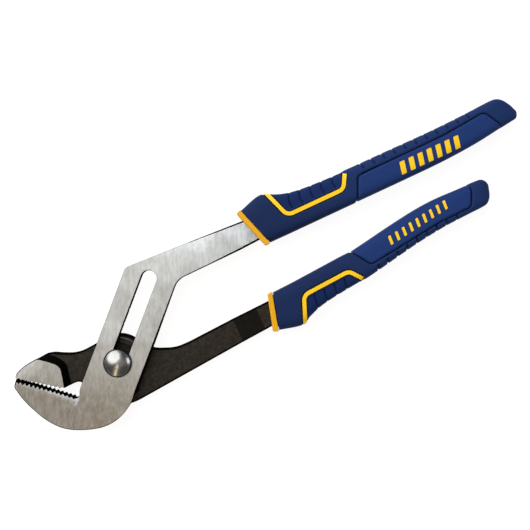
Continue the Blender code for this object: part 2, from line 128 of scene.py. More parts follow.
def polar(radius, angle, centre=(0.0, 0.0)):
    """The point at this distance and angle from a centre."""
    return (centre[0] + radius * cos(radians(angle)), centre[1] + radius * sin(radians(angle)))


def arc(radius, start, end, step=5.0, centre=(0.0, 0.0)):
    """Points on an arc, both ends included."""
    count = max(1, ceil(abs(end - start) / step))
    return [polar(radius, start + (end - start) * i / count, centre) for i in range(count + 1)]


def smooth(points, steps=6):
    """A curve through all the points, of any dimension, with so many steps between two of them."""
    points = np.array(points, float)
    padded = np.vstack([2 * points[0] - points[1], points, 2 * points[-1] - points[-2]])
    curve = []
    for before, start, end, after in zip(padded, padded[1:], padded[2:], padded[3:]):
        for i in range(steps):
            t = i / steps
            curve.append(0.5 * (2 * start + (end - before) * t
                                + (2 * before - 5 * start + 4 * end - after) * t * t
                                + (3 * start - before - 3 * end + after) * t ** 3))
    curve.append(points[-1])
    return [tuple(float(value) for value in point) for point in curve]


def rounded(corners, step=7.5):
    """A closed outline from (x, y, radius) corners, with an arc in each corner that has a radius."""
    outline = []
    for i, (x, y, radius) in enumerate(corners):
        corner = Vector((x, y))
        before = (Vector(corners[i - 1][:2]) - corner).normalized()
        after = (Vector(corners[(i + 1) % len(corners)][:2]) - corner).normalized()
        half = before.angle(after) / 2
        if radius == 0:
            outline.append((x, y))
            continue
        centre = corner + (before + after).normalized() * radius / sin(half)
        start = corner + before * radius / tan(half) - centre
        end = corner + after * radius / tan(half) - centre
        first = degrees(atan2(start.y, start.x))
        turn = (degrees(atan2(end.y, end.x)) - first + 180) % 360 - 180
        outline += arc(radius, first, first + turn, step, tuple(centre))
    return outline


def open_rounded(path, radius):
    """An open path with an arc in each inner corner."""
    corners = [(*path[0], 0)] + [(x, y, radius) for x, y in path[1:-1]] + [(*path[-1], 0)]
    return rounded(corners)


def dense(outline, step=2.5):
    """A closed outline with points added, so that no edge is longer than the step."""
    points = []
    for (x0, y0), (x1, y1) in zip(outline, outline[1:] + outline[:1]):
        count = max(1, ceil(hypot(x1 - x0, y1 - y0) / step))
        points += [(x0 + (x1 - x0) * i / count, y0 + (y1 - y0) * i / count) for i in range(count)]
    return points


def anticlockwise(outline):
    area = sum(x0 * y1 - x1 * y0 for (x0, y0), (x1, y1) in zip(outline, outline[1:] + outline[:1]))
    return outline if area > 0 else outline[::-1]


def inset(outline, amounts):
    """A closed anticlockwise outline moved inwards, by one amount or by one for each point."""
    if not hasattr(amounts, "__len__"):
        amounts = [amounts] * len(outline)
    moved = []
    for i, amount in enumerate(amounts):
        point = Vector(outline[i])
        before = (point - Vector(outline[i - 1])).normalized()
        after = (Vector(outline[(i + 1) % len(outline)]) - point).normalized()
        sides = Vector((-before.y - after.y, before.x + after.x)).normalized()
        stretch = max(sides.dot(Vector((-after.y, after.x))), 0.5)
        moved.append(tuple(point + sides * amount / stretch))
    return moved


def offset_path(path, distance):
    """An open path moved to its left by the distance, with mitred corners."""
    points = [Vector(p) for p in path]
    sides = [(b - a).normalized() for a, b in zip(points, points[1:])]
    sides = [Vector((-s.y, s.x)) for s in sides]
    moved = [points[0] + sides[0] * distance]
    for point, left, right in zip(points[1:], sides, sides[1:]):
        mitre = (left + right).normalized()
        moved.append(point + mitre * distance / mitre.dot(left))
    moved.append(points[-1] + sides[-1] * distance)
    return [tuple(p) for p in moved]


def band(path, width):
    """The closed outline of a band along an open path."""
    return anticlockwise(offset_path(path, width / 2) + offset_path(path, -width / 2)[::-1])


def sector(inner, outer, start, end, centre=(0.0, 0.0)):
    """The closed outline of a piece of a ring."""
    return anticlockwise(arc(outer, start, end, centre=centre) + arc(inner, end, start, centre=centre))


def teeth(first_gullet, angle, count, crest_side):
    """A row of V teeth as gullet, crest, gullet and so on, with the crests on one side of the row."""
    step = Vector(polar(TOOTH_PITCH, angle))
    out = Vector(polar(TOOTH_DEPTH, angle + crest_side))
    row = []
    for i in range(count):
        gullet = Vector(first_gullet) + step * i
        row += [tuple(gullet), tuple(gullet + step / 2 + out)]
    return row[:-1]


# ------------------------ solids


def new_object(name, vertices, faces):
    """An object with a mesh from points in millimetres, its faces turned outwards."""
    mesh = bpy.data.meshes.new(name)
    mesh.from_pydata([tuple(c * MM for c in v) for v in vertices], [], faces)
    bm = bmesh.new()
    bm.from_mesh(mesh)
    bmesh.ops.recalc_face_normals(bm, faces=bm.faces)
    bm.to_mesh(mesh)
    bm.free()
    obj = bpy.data.objects.new(name, mesh)
    bpy.context.scene.collection.objects.link(obj)
    return obj


def loft(name, rings):
    """A closed solid through rings of equally many points, with a flat cap on each end."""
    count = len(rings[0])
    faces = [tuple(range(count))[::-1]]
    for row in range(len(rings) - 1):
        low, high = row * count, (row + 1) * count
        for i in range(count):
            j = (i + 1) % count
            faces.append((low + i, low + j, high + j, high + i))
    faces.append(tuple(range((len(rings) - 1) * count, len(rings) * count)))
    return new_object(name, [p for ring in rings for p in ring], faces)


def prism(name, outline, bottom, top):
    """An upright solid with this outline, between two heights."""
    return loft(name, [[(x, y, z) for x, y in outline] for z in (bottom, top)])


def level(outline, height, amounts=0.0):
    """One ring of a forging: the outline at a height, moved inwards by the amounts."""
    heights = height if hasattr(height, "__len__") else [height] * len(outline)
    return [(x, y, z) for (x, y), z in zip(inset(outline, amounts), heights)]


def combine(target, tool, operation):
    """Apply a Boolean with the tool to the target, and remove the tool."""
    modifier = target.modifiers.new(operation.lower(), "BOOLEAN")
    modifier.operation = operation
    modifier.solver = "MANIFOLD"
    modifier.object = tool
    with bpy.context.temp_override(object=target, active_object=target):
        bpy.ops.object.modifier_apply(modifier=modifier.name)
    bpy.data.objects.remove(tool)
    return target


def join(target, tool):
    return combine(target, tool, "UNION")


def cut(target, tool):
    return combine(target, tool, "DIFFERENCE")


def keep(target, tool):
    return combine(target, tool, "INTERSECT")


def slice_at(obj, places):
    """Add edges where planes across X pass through the mesh."""
    bm = bmesh.new()
    bm.from_mesh(obj.data)
    for x in places:
        everything = bm.verts[:] + bm.edges[:] + bm.faces[:]
        bmesh.ops.bisect_plane(bm, geom=everything, plane_co=(x * MM, 0, 0), plane_no=(1, 0, 0))
    bm.to_mesh(obj.data)
    bm.free()


def bend_heights(obj, places, low, high, old_low, old_high):
    """Move each point's height, so that the plate between two old heights follows two curves of X."""
    for vertex in obj.data.vertices:
        x, z = vertex.co.x / MM, vertex.co.z / MM
        if x > places[0]:
            share = (z - old_low) / (old_high - old_low)
            bottom, top = np.interp(x, places, low), np.interp(x, places, high)
            vertex.co.z = (bottom + (top - bottom) * share) * MM


def paint(obj, materials, choose):
    """Give each face the material that choose(normal, centre in millimetres) picks."""
    obj.data.materials.clear()
    for material in materials:
        obj.data.materials.append(material)
    for face in obj.data.polygons:
        face.material_index = choose(face.normal, face.center / MM)


def shade(obj, sharp_angle=32, keep_flat=True):
    """Smooth shading with sharp edges, where the large faces stay flat if asked."""
    obj.data.shade_smooth()
    obj.data.set_sharp_from_angle(angle=radians(sharp_angle))
    if not keep_flat:
        return
    weighted = obj.modifiers.new("weighted_normals", "WEIGHTED_NORMAL")
    weighted.keep_sharp = True
    weighted.weight = 80


# ------------------------ materials


class Shader:
    """A Principled material whose nodes are added one by one."""

    def __init__(self, name, color, roughness, metallic=0.0):
        self.material = bpy.data.materials.new(name)
        self.material.use_nodes = True
        self.tree = self.material.node_tree
        self.surface = self.tree.nodes["Principled BSDF"]
        self.set(Roughness=roughness, Metallic=metallic)
        self.surface.inputs["Base Color"].default_value = (*color, 1.0)

    def set(self, **values):
        """Set sockets of the surface, with an underscore for each space."""
        for name, value in values.items():
            self.surface.inputs[name.replace("_", " ")].default_value = value

    def node(self, kind, inputs=(), **settings):
        """Add a node and give its first output."""
        node = self.tree.nodes.new("ShaderNode" + kind)
        for name, value in settings.items():
            setattr(node, name, value)
        for socket, value in dict(inputs).items():
            if isinstance(value, bpy.types.NodeSocket):
                self.tree.links.new(value, node.inputs[socket])
            else:
                node.inputs[socket].default_value = value
        return node.outputs[0]

    def place(self, scale=(1.0, 1.0, 1.0), turn=0.0):
        """The place on the object in millimetres, turned about Z and then scaled."""
        coordinates = self.tree.nodes.new("ShaderNodeTexCoord").outputs["Object"]
        turned = self.node("Mapping", {"Vector": coordinates, "Rotation": (0, 0, radians(turn))})
        scale = tuple(s / MM for s in scale)
        return self.node("Mapping", {"Vector": turned, "Scale": scale})

    def radius(self):
        """The distance from the bolt's axis, in millimetres."""
        length = self.node("VectorMath", {0: self.place((1.0, 1.0, 0.0))}, operation="LENGTH")
        return length.node.outputs["Value"]

    def noise(self, place, detail=3.0, roughness=0.5):
        return self.node("TexNoise", {"Vector": place, "Scale": 1.0, "Detail": detail,
                                      "Roughness": roughness})

    def remap(self, value, low, high, to_low=0.0, to_high=1.0):
        """Map low to to_low and high to to_high, smoothly."""
        inputs = {"Value": value, "From Min": low, "From Max": high, "To Min": to_low, "To Max": to_high}
        return self.node("MapRange", inputs, interpolation_type="SMOOTHSTEP")

    def mix(self, share, first, second):
        """The first colour, or the second one where the share is 1."""
        node = self.tree.nodes.new("ShaderNodeMix")
        node.data_type = "RGBA"
        sockets = [s for s in node.inputs if s.type == "RGBA"]
        for socket, value in zip(sockets, (first, second)):
            if isinstance(value, bpy.types.NodeSocket):
                self.tree.links.new(value, socket)
            else:
                socket.default_value = (*value, 1.0)
        self.tree.links.new(share, node.inputs[0])
        return next(s for s in node.outputs if s.type == "RGBA")

    def math(self, operation, first, second):
        return self.node("Math", {0: first, 1: second}, operation=operation)

    def link(self, output, socket):
        self.tree.links.new(output, self.surface.inputs[socket])

    def bump(self, height, distance):
        """Bump from a height between 0 and 1, where 1 stands for the distance in millimetres."""
        node = self.node("Bump", {"Height": height, "Distance": distance * MM, "Strength": 1.0})
        self.link(node, "Normal")


LIT_HANDLE_STEEL = (0.735, 0.785, 0.815)
STAINED_STEEL = (0.235, 0.214, 0.188)
BRIGHT_MARK = (0.56, 0.56, 0.565)
DARK_LINE = (0.17, 0.157, 0.140)
WORN_STEEL = (0.56, 0.555, 0.54)
WORN_RING_RADIUS = 8.7


def ground_steel(name, jaw_color):
    """A satin face with fine grinding lines, brighter and cooler from the jaw to the handle: partly
    painted light for the handle's brighter reflection, partly a warmer tint on the jaw.
    """
    shader = Shader(name, jaw_color, 0.36, 1.0)
    grain = shader.noise(shader.place((0.12, 2.4, 0.1), turn=-67.0), detail=4.0, roughness=0.65)
    coarse = shader.noise(shader.place((0.25, 0.8, 0.1), turn=-61.0), detail=3.0, roughness=0.6)
    mottle = shader.noise(shader.place((0.2, 0.42, 0.3), turn=-58.0), detail=5.0, roughness=0.72)
    stains = shader.noise(shader.place((0.07, 0.045, 0.05), turn=-50.0), detail=4.0, roughness=0.55)
    lines = shader.math("ADD", shader.math("MULTIPLY", grain, 0.5), shader.math("MULTIPLY", coarse, 0.5))
    # Painted light, in part: the base colour brightens from the jaw to the handle, as the handle's
    # reflection does.
    along = shader.node("SeparateXYZ", {"Vector": shader.place((0.018, 1.0, 1.0), turn=-SLOT_ANGLE)})
    neck = shader.remap(along, -0.6, 0.45, 0.0, 0.54)
    handle = shader.remap(along, 1.0, 1.35, 0.0, 0.46)
    base = shader.mix(shader.math("ADD", neck, handle), jaw_color, LIT_HANDLE_STEEL)
    dull = shader.mix(shader.remap(stains, 0.36, 0.66, 0.0, 0.38), base, STAINED_STEEL)
    marked = shader.mix(shader.remap(mottle, 0.38, 0.64, 0.0, 0.28), dull, BRIGHT_MARK)
    streaked = shader.mix(shader.remap(lines, 0.38, 0.62, 0.27, 0.0), marked, DARK_LINE)
    from_ring = shader.math("SUBTRACT", shader.radius(), WORN_RING_RADIUS)
    ring = shader.remap(shader.math("ABSOLUTE", from_ring, 0.0), 1.1, 0.1)
    worn = shader.mix(shader.math("MULTIPLY", ring, 0.16), streaked, WORN_STEEL)
    shader.link(worn, "Base Color")
    shader.link(shader.remap(lines, 0.3, 0.7, 0.30, 0.42), "Roughness")
    shader.bump(lines, 0.006)
    return shader.material


def black_oxide(name, color, mottle_color, roughness, gloss):
    """Forged steel with a dark brown-black finish, slightly grainy."""
    shader = Shader(name, color, roughness)
    shader.set(Specular_IOR_Level=gloss)
    cloud = shader.noise(shader.place((0.5, 0.5, 0.5)), detail=6.0, roughness=0.75)
    grain = shader.noise(shader.place((1.4, 1.4, 1.4)), detail=3.0, roughness=0.6)
    shader.link(shader.mix(shader.remap(cloud, 0.32, 0.68), color, mottle_color), "Base Color")
    shader.link(shader.remap(cloud, 0.3, 0.7, roughness + 0.05, roughness - 0.05), "Roughness")
    shader.bump(grain, 0.05)
    return shader.material


def polished_steel(name, color, roughness):
    """Plated steel with faint wear."""
    shader = Shader(name, color, roughness, 1.0)
    wear = shader.noise(shader.place((0.5, 0.5, 0.5)), detail=5.0, roughness=0.7)
    shader.link(shader.remap(wear, 0.35, 0.7, roughness * 0.95, roughness * 1.15), "Roughness")
    worn = tuple(c * 0.86 for c in color)
    shader.link(shader.mix(shader.remap(wear, 0.4, 0.7), color, worn), "Base Color")
    shader.bump(wear, 0.0003)
    return shader.material


def soft_rubber(name, color, rear_color):
    """Soft overmoulded rubber with a fine moulded grain, whose colour changes towards the rear."""
    shader = Shader(name, color, 0.5)
    shader.set(Specular_IOR_Level=0.025)
    grain = shader.noise(shader.place((5.0, 5.0, 5.0)), detail=2.0)
    cloud = shader.noise(shader.place((0.05, 0.05, 0.05)), detail=3.0)
    rear = shader.remap(shader.node("SeparateXYZ", {"Vector": shader.place()}), 112.0, 168.0)
    share = shader.math("MULTIPLY", rear, shader.remap(cloud, 0.2, 0.7, 0.8, 1.0))
    shader.link(shader.mix(share, color, rear_color), "Base Color")
    shader.link(shader.remap(grain, 0.3, 0.7, 0.50, 0.62), "Roughness")
    shader.bump(grain, 0.018)
    return shader.material


def hard_plastic(name, color, deep_color):
    """Hard moulded plastic with slight unevenness."""
    shader = Shader(name, color, 0.38)
    shader.set(Specular_IOR_Level=0.25)
    cloud = shader.noise(shader.place((0.15, 0.15, 0.15)), detail=4.0)
    grain = shader.noise(shader.place((2.5, 2.5, 2.5)), detail=2.0)
    shader.link(shader.mix(shader.remap(cloud, 0.35, 0.7), color, deep_color), "Base Color")
    shader.link(shader.remap(grain, 0.3, 0.7, 0.32, 0.44), "Roughness")
    shader.bump(grain, 0.01)
    return shader.material


GROUND_STEEL = ground_steel("ground_steel", (0.235, 0.213, 0.181))
# A lighter, bluer copy of the ground steel for the slope beside the teeth: a painted reflection.
BEVEL_REFLECTION_STEEL = ground_steel("bevel_painted_reflection_steel", (0.27, 0.278, 0.29))
JAW_STEEL = ground_steel("ground_jaw_steel", (0.29, 0.276, 0.25))
BLACK_OXIDE = black_oxide("black_oxide", (0.008, 0.0062, 0.0045), (0.027, 0.0215, 0.0160), 0.45, 0.12)
# A darker copy of the oxide for the bend of the lower handle: painted shade.
SHADED_OXIDE = black_oxide("shaded_oxide", (0.004, 0.0033, 0.0024), (0.007, 0.0060, 0.0045), 0.5, 0.06)
# A lighter, glossier oxide for the tongue's outer edge: a painted highlight.
TONGUE_HIGHLIGHT_OXIDE = black_oxide("tongue_painted_highlight", (0.060, 0.055, 0.050), (0.085, 0.080, 0.075), 0.35, 0.5)
# Near-black without gloss on the walls and rounded edges: partly the forging's own black, partly painted
# shade, so that they never catch a reflection.
BLACK_WALL_SHADE = black_oxide("black_wall_painted_shade", (0.002, 0.0018, 0.0015), (0.004, 0.0035, 0.003), 0.6, 0.0)
BOLT_STEEL = polished_steel("bolt_steel", (0.315, 0.317, 0.315), 0.27)
# A dark steel for the dome's rim: painted shade, standing for a dark reflection.
RIM_SHADE_STEEL = polished_steel("bolt_rim_painted_shade", (0.015, 0.0145, 0.0135), 0.45)
NUT_STEEL = polished_steel("nut_steel", (0.36, 0.35, 0.34), 0.34)
NAVY_SHELL = soft_rubber("navy_shell", (0.0115, 0.0232, 0.081), (0.0125, 0.0300, 0.110))
# A darker copy of the shell rubber for the recessed thumb panel: painted shade.
NAVY_PANEL_SHADE = soft_rubber("navy_panel_painted_shade", (0.0085, 0.0210, 0.088), (0.0100, 0.0240, 0.100))
NAVY_PAD = soft_rubber("navy_pad", (0.0140, 0.0340, 0.140), (0.0145, 0.0360, 0.145))
# The yellow core's hidden sleeve in near-black rubber, so that the gaps round the stripe and the pad read
# dark: painted shade.
SLEEVE_SHADE = soft_rubber("sleeve_painted_shade", (0.003, 0.004, 0.012), (0.004, 0.005, 0.016))
LEMON = hard_plastic("lemon_plastic", (0.88, 0.56, 0.012), (0.86, 0.53, 0.010))
# The flange's darker orange copy of the same yellow plastic: painted shade.
FLANGE_SHADE_YELLOW = hard_plastic("flange_shaded_plastic", (0.70, 0.355, 0.003), (0.67, 0.33, 0.002))


# ------------------------ slotted lever

LOWER_JAW_CURVE = [(-55.05, 10.6), (-53.7, 4.0), (-50.9, -3.7), (-46.6, -12.2), (-40.2, -19.6),
                   (-31.0, -24.7), (-20.5, -27.6), (-11.0, -26.6), (-2.9, -22.3)]
THROAT_CURVE = [(-21.5, -1.5), (-24.4, -4.7), (-26.0, -7.2), (-27.0, -7.9)]
JAW_TIP = [(-52.4, 14.9), (-53.9, 13.2), (-54.9, 11.8)]
BESIDE_LOWER_TEETH = [(-54.4, 17.3), (-26.8, -8.1)]
ROUND_THROAT = [(-29.8, -11.2), (-27.2, -8.2), (-24.6, -5.1)]
LOWER_SLOPES = ((0.06, (2.5, 4.2)), (0.13, (1.8, 3.2)), (0.2, (0.9, 1.9)))
UPPER_TANG = [(97.0, 27.5), (118.0, 28.2), (224.0, 30.4), (224.0, 36.4), (118.0, 37.8), (97.0, 39.9)]
UPPER_BEND = (60.0, 66.0, 72.0, 78.0, 88.0, 97.0, 105.0, 112.0)
UPPER_LOW = (NECK_BACK, 8.2, 7.0, 6.2, 6.0, 6.0, 6.0, 6.0)
UPPER_HIGH = (JAW_FRONT, JAW_FRONT, JAW_FRONT, 14.95, 14.5, 14.1, 13.2, 12.0)


def slotted_outline():
    """The whole front outline, anticlockwise from the jaw's tip."""
    corners = [(47.1, 26.5, 10.0), (84.0, 26.9, 0)] + [(x, y, 0) for x, y in UPPER_TANG]
    corners += [(84.0, 40.65, 0), (24.8, 43.95, 2.8), (*THROAT_CURVE[0], 0), (*LOWER_JAW_CURVE[-1], 0)]
    handle = dense(rounded(corners))
    handle = handle[:handle.index(corners[-2][:2])]
    crests = teeth((-51.8, 12.9), -42.3, 14, 90)
    return smooth(LOWER_JAW_CURVE) + handle + smooth(THROAT_CURVE, 4) + crests[::-1] + JAW_TIP


def front_edge(x, y):
    """How far the front edge is cut back: wider on the teeth near the tip, round the jaw and the tang."""
    # Round the jaw and along the teeth the cut edges are wide, so that their near-black paint shows as a
    # painted shade outline.
    below_teeth = y < 11.0 - 0.91 * (x + 52.4)
    if x < 0.0 and below_teeth:
        return PLAIN_EDGE
    if x < THROAT_X:
        return FINE_EDGE + 0.03 * (THROAT_X - x)
    inner_side = x > 0.0 and (SLOT_NORMAL.dot((x, y)) < INNER_SIDE or (x > 40.0 and y < 33.0))
    narrow, widest = (PLAIN_EDGE, INNER_TANG_EDGE) if inner_side else (FINE_EDGE, TANG_EDGE)
    return narrow + (widest - narrow) * min(max((x - 66.0) / 20.0, 0.0), 1.0)


def slot_cutter():
    """What the long slot removes, flared at the face."""
    outline = []
    for along, first in ((-0.2, 90), (TRAVEL + 0.5, -90)):
        end = (along, SLOT_OFFSET)
        outline += [along_slot(*polar(SLOT_HALF_WIDTH, a, end)) for a in range(first, first + 181, 6)]
    outline = anticlockwise(outline)
    edge = [SLOT_EDGE if SLOT_NORMAL.dot(point) > SLOT_OFFSET else FINE_EDGE for point in outline]
    return loft("slot", [level(outline, 0.0), level(outline, [JAW_FRONT - e for e in edge]),
                         level(outline, JAW_FRONT + 1, [-1 - e for e in edge])])


def bolt_places():
    """The bolt's seven places, on a very flat arc that stays inside the straight slot."""
    half = radians(SHIFT_TURN / 2)
    radius = TRAVEL / 2 / sin(half)
    centre = Vector(along_slot(TRAVEL / 2, -radius * cos(half)))
    for i in range(GROOVE_COUNT):
        turn = Matrix.Rotation(-radians(SHIFT_TURN) * i / (GROOVE_COUNT - 1), 2)
        yield tuple(centre + turn @ -centre)


def cut_grooves(lever):
    """The arc grooves in the neck's back and the recess beside them."""
    depth = HUB_FRONT + TONGUE_HEIGHT + GAP
    for i, centre in enumerate(bolt_places()):
        turn = SLOT_ANGLE - SHIFT_TURN * i / (GROOVE_COUNT - 1)
        groove = sector(TONGUE_INNER - GAP, TONGUE_OUTER + GAP, turn + TONGUE_TO + SPARE_ANGLE,
                        turn - GROOVE_SWEEP, centre)
        cut(lever, prism("groove", groove, 0.0, depth))
    edge = NECK_HALF_WIDTH + 4.0
    low, high = -9.0, TRAVEL + 16.0
    relief = [along_slot(low, -edge), along_slot(high, -edge),
              along_slot(high, -RELIEF_OFFSET), along_slot(low, -RELIEF_OFFSET)]
    cut(lever, prism("relief", relief, 0.0, depth))


def cut_behind_neck(lever):
    """Remove what is behind the neck, outside the jaw."""
    foot = Vector(polar(REAR_ARC_RADIUS + GAP, REAR_CORNER_ANGLE - OPEN_ANGLE - SPARE_ANGLE))
    far = foot + Vector((-foot.y, foot.x)).normalized() * TALL
    swept = [tuple(foot), tuple(far), (TALL * 6, -TALL), (TALL * 6, TALL), (0.0, TALL), (0.0, 0.0)]
    cut(lever, prism("swept", swept, -1.0, NECK_BACK))
    cut(lever, prism("hub_path", arc(REAR_ARC_RADIUS + 2 * GAP, 0, 357, 3.0), -1.0, NECK_BACK))


def slope_face(jaw, path, widths, tilt, reach):
    """Slope a jaw's face down to the left of a path, from so far to the right of each of its points."""
    points = [Vector(p) for p in path]
    rings = []
    for i, (place, width) in enumerate(zip(points, widths)):
        direction = (points[min(i + 1, len(points) - 1)] - points[max(i - 1, 0)]).normalized()
        side = Vector((direction.y, -direction.x))
        inner = place + side * width
        outer = place - side * reach
        drop = (width + reach) * tilt
        rings.append([(*inner, JAW_FRONT), (*outer, JAW_FRONT - drop), (*outer, JAW_FRONT + 2),
                      (*inner, JAW_FRONT + 2)])
    cut(jaw, loft("sloped", rings))


def shadow_band_draft(x, y):
    """How far the neck's inner side leans out on the way down to the jaw's back, less near the handle. The
    leaning wall is painted near-black and widens the dark band beside the neck, as a painted shadow.
    """
    if x < 0.0 or SLOT_NORMAL.dot((x, y)) > INNER_SIDE:
        return 0.0
    return SHADOW_BAND_DRAFT * min(max((46.0 - SLOT_DIRECTION.dot((x, y))) / 40.0, 0.0), 1.0)


def slotted_lever():
    """The lower jaw, the neck with its slot and grooves, and the upper handle."""
    outline = dense(anticlockwise(slotted_outline()), 3.0)
    edge = [front_edge(x, y) for x, y in outline]
    draft = [-shadow_band_draft(x, y) for x, y in outline]
    rings = [level(outline, HUB_BACK, 0.25), level(outline, HUB_BACK + 0.25, draft)]
    for share, drop in ((0.0, 1.0), (0.3, 0.3), (1.0, 0.0)):
        heights = [JAW_FRONT - e * drop for e in edge]
        rings.append(level(outline, heights, [e * share for e in edge]))
    lever = loft("slotted_lever_steel", rings)
    cut_behind_neck(lever)
    cut(lever, slot_cutter())
    cut_grooves(lever)
    for tilt, widths in LOWER_SLOPES:
        slope_face(lever, BESIDE_LOWER_TEETH, widths, tilt, 3.0)
        slope_face(lever, ROUND_THROAT, (0.2, widths[1] * 0.45, 0.0), tilt, 1.0)
    slice_at(lever, UPPER_BEND)
    bend_heights(lever, UPPER_BEND, UPPER_LOW, UPPER_HIGH, NECK_BACK, JAW_FRONT)

    def choose(normal, centre):
        """0 on the ground faces, 1 on the black walls, near-black without gloss as their own black and
        painted shade, and 2 on the slope beside the teeth, as a painted reflection.
        """
        front = normal.z > 0.975
        jaw_back = normal.z < -0.9 and centre.z < HUB_BACK + 0.2 and centre.x < 60
        beside_teeth = front and normal.z < 0.996 and centre.x < 0
        # Painted reflection: the slope beside the teeth takes the lighter, bluer steel.
        if beside_teeth:
            return 2
        return 0 if front or jaw_back else 1

    paint(lever, (GROUND_STEEL, BLACK_WALL_SHADE, BEVEL_REFLECTION_STEEL), choose)
    shade(lever)
    return lever


# ------------------------ tongued lever

UPPER_JAW_CURVE = [(-52.5, 15.2), (-51.6, 16.8), (-49.4, 18.2), (-44.5, 19.5), (-38.3, 20.1)]
SHOULDER_CURVE = [(-33.4, 20.5), (-29.8, 19.5), (-25.2, 17.0), (-20.2, 14.8), (-15.0, 13.9), (-6.3, 14.3)]
JAW_STEP_TOP = [(-37.0, 19.1), (-33.2, 16.2), (-29.9, 13.0), (-28.8, 10.6), (-28.9, 8.6), (-29.7, 5.0)]
JAW_STEP_FOOT = [(-33.4, 20.2), (-29.8, 17.2), (-27.3, 13.9), (-26.2, 11.2), (-26.3, 8.8), (-27.2, 5.0)]
JAW_HEEL = (-31.1, -0.15)
HANDLE_TOP_CURVE = [(14.5, 4.9), (19.2, -0.5), (25.0, -3.6), (31.0, -5.6), (38.0, -6.0)]
LOWER_TANG = [(86.0, -4.1), (110.0, -4.6), (140.0, -1.5), (186.0, 3.6), (200.0, 3.4),
              (200.0, -2.6), (186.0, -2.9), (140.0, -10.2), (110.0, -14.4), (82.0, -17.0)]
REAR_CURVE = [(-22.95, -1.5), (-24.0, -0.6), (-25.7, -0.2), (-28.0, -0.15)]
LOWER_BEND = (64.5, 78.2)
LOWER_LOW = (HUB_BACK, 6.0)
LOWER_HIGH = (HUB_FRONT, 12.0)
BESIDE_UPPER_CURVE = [(-56.5, 13.0), (-29.0, 25.1)]
UPPER_SLOPES = ((0.03, (2.6, 8.8)), (0.06, (1.6, 6.1)))


def upper_teeth():
    """The upper jaw's teeth, from the heel to the tip."""
    return teeth((-50.7, 14.8), -36.8, 11, -90)[::-1]


def tongued_outline():
    """The whole outline behind the neck, clockwise from the upper jaw's tip."""
    hub = arc(HUB_RADIUS, 110, 21)
    handle = smooth(HANDLE_TOP_CURVE) + [(65.0, -4.8)] + LOWER_TANG
    rear = arc(REAR_ARC_RADIUS, -85.8, -175.0)
    top = smooth(UPPER_JAW_CURVE) + smooth(SHOULDER_CURVE)
    return top + hub + handle + rear + smooth(REAR_CURVE, 4) + [JAW_HEEL] + upper_teeth()


def rounding_levels(outline, top, edge):
    """The last rings of a forging, rounded over by one amount for each point."""
    rings = []
    for share, drop in ((0.0, 1.0), (0.1, 0.55), (0.4, 0.18), (1.0, 0.0)):
        rings.append(level(outline, [top - e * drop for e in edge], [e * share for e in edge]))
    return rings


def upper_jaw():
    """The full thickness jaw, with its hollow step down to the thin neck."""
    tip, row = smooth(UPPER_JAW_CURVE), upper_teeth()
    top = tip + smooth(JAW_STEP_TOP, 4) + [JAW_HEEL] + row
    foot = tip + smooth(JAW_STEP_FOOT, 4) + [(JAW_HEEL[0] + 3.0, JAW_HEEL[1])] + row
    middle = [(f[0] * 0.4 + t[0] * 0.6, f[1] * 0.4 + t[1] * 0.6) for f, t in zip(foot, top)]
    edge = [min(FINE_EDGE + 0.4 * (x - tip[0][0]), 0.7) for x, y in tip]
    edge += [0.3] * (len(top) - len(tip) - len(row)) + [FINE_EDGE] * len(row)
    edge.reverse()
    top, middle, foot = top[::-1], middle[::-1], foot[::-1]
    rings = [level(foot, HUB_BACK, 0.25), level(foot, HUB_BACK + 0.25), level(foot, HUB_FRONT),
             level(middle, HUB_FRONT + 2.0), level(top, [JAW_FRONT - e for e in edge]),
             level(top, JAW_FRONT, edge)]
    jaw = loft("upper_jaw", rings)
    for tilt, widths in UPPER_SLOPES:
        slope_face(jaw, BESIDE_UPPER_CURVE, widths, tilt, 6.0)
    return jaw


